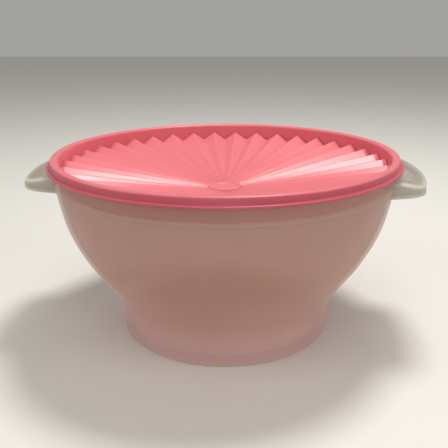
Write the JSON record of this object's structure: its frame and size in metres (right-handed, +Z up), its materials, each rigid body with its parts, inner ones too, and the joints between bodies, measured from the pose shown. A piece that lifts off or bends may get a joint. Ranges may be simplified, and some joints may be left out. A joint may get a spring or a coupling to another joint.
{
  "type": "lidded rice bowl",
  "caption": "Large round frosted plastic rice serving bowl with a stepped foot, two opposed rim handles and a pink pleated press-down lid that seals by flexing at its centre.",
  "frame": {"origin": "centre of the foot on the table plane, which is the bottom centre of the bounding box", "axes": "+Z up along the bowl's axis, X through the two handles, Y across them"},
  "size_m": [0.307, 0.2732, 0.1434],
  "materials": {
    "bowl_plastic": "frosted, translucent, faintly pink, satin",
    "lid_plastic": "coral pink, smooth satin gloss"
  },
  "bodies": {
    "bowl": {"bowl": "bowl_plastic"},
    "lid": {"lid_rim": "lid_plastic", "lid_pleats": "lid_plastic"},
    "lid_centre": {"lid_button": "lid_plastic"}
  },
  "joints": [
    {"name": "lid_lift", "type": "slide", "parent": "bowl", "child": "lid", "axis": [0, 0, 1], "range_m": [0, 0.16]},
    {"name": "centre_press", "type": "slide", "parent": "lid", "child": "lid_centre", "axis": [0, 0, 1], "range_m": [0, 0.01125], "deforming": ["lid_pleats"]}
  ]
}
